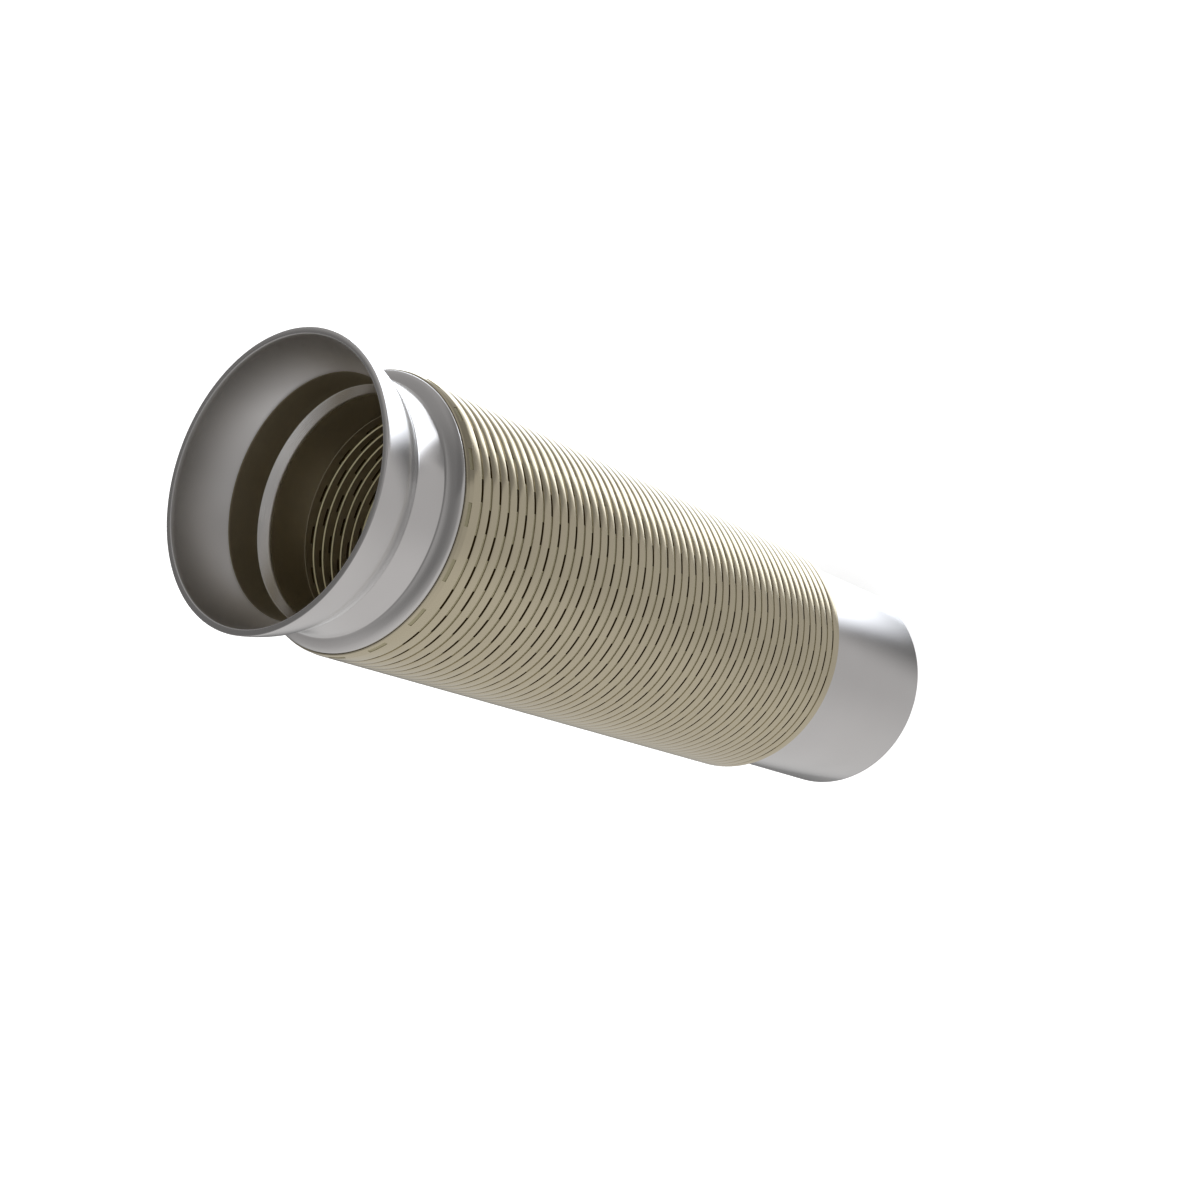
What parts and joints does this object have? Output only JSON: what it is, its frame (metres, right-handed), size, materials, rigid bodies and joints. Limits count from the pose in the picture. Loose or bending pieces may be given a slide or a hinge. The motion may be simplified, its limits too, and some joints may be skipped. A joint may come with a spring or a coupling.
{
  "type": "flexible exhaust pipe",
  "caption": "Flexible metal exhaust pipe: a strip-wound hose in a strip-wound hose, with a flared ball-cup inlet and a plain outlet sleeve",
  "frame": {"origin": "middle of the outlet sleeve's end face, the lowest point of the axis", "axes": "+Z runs along the pipe's axis from the outlet sleeve up to the flared inlet; +X and +Y are any two directions across it, as the pipe is round"},
  "size_m": [0.1364, 0.1364, 0.4542],
  "materials": {
    "fitting_steel": "satin",
    "hose_steel": "satin"
  },
  "bodies": {
    "root": {"inlet_flare": "fitting_steel", "inlet_liner": "fitting_steel", "inner_hose": "hose_steel", "outer_hose": "hose_steel", "outlet_ring": "fitting_steel", "outlet_sleeve": "fitting_steel"}
  },
  "joints": []
}
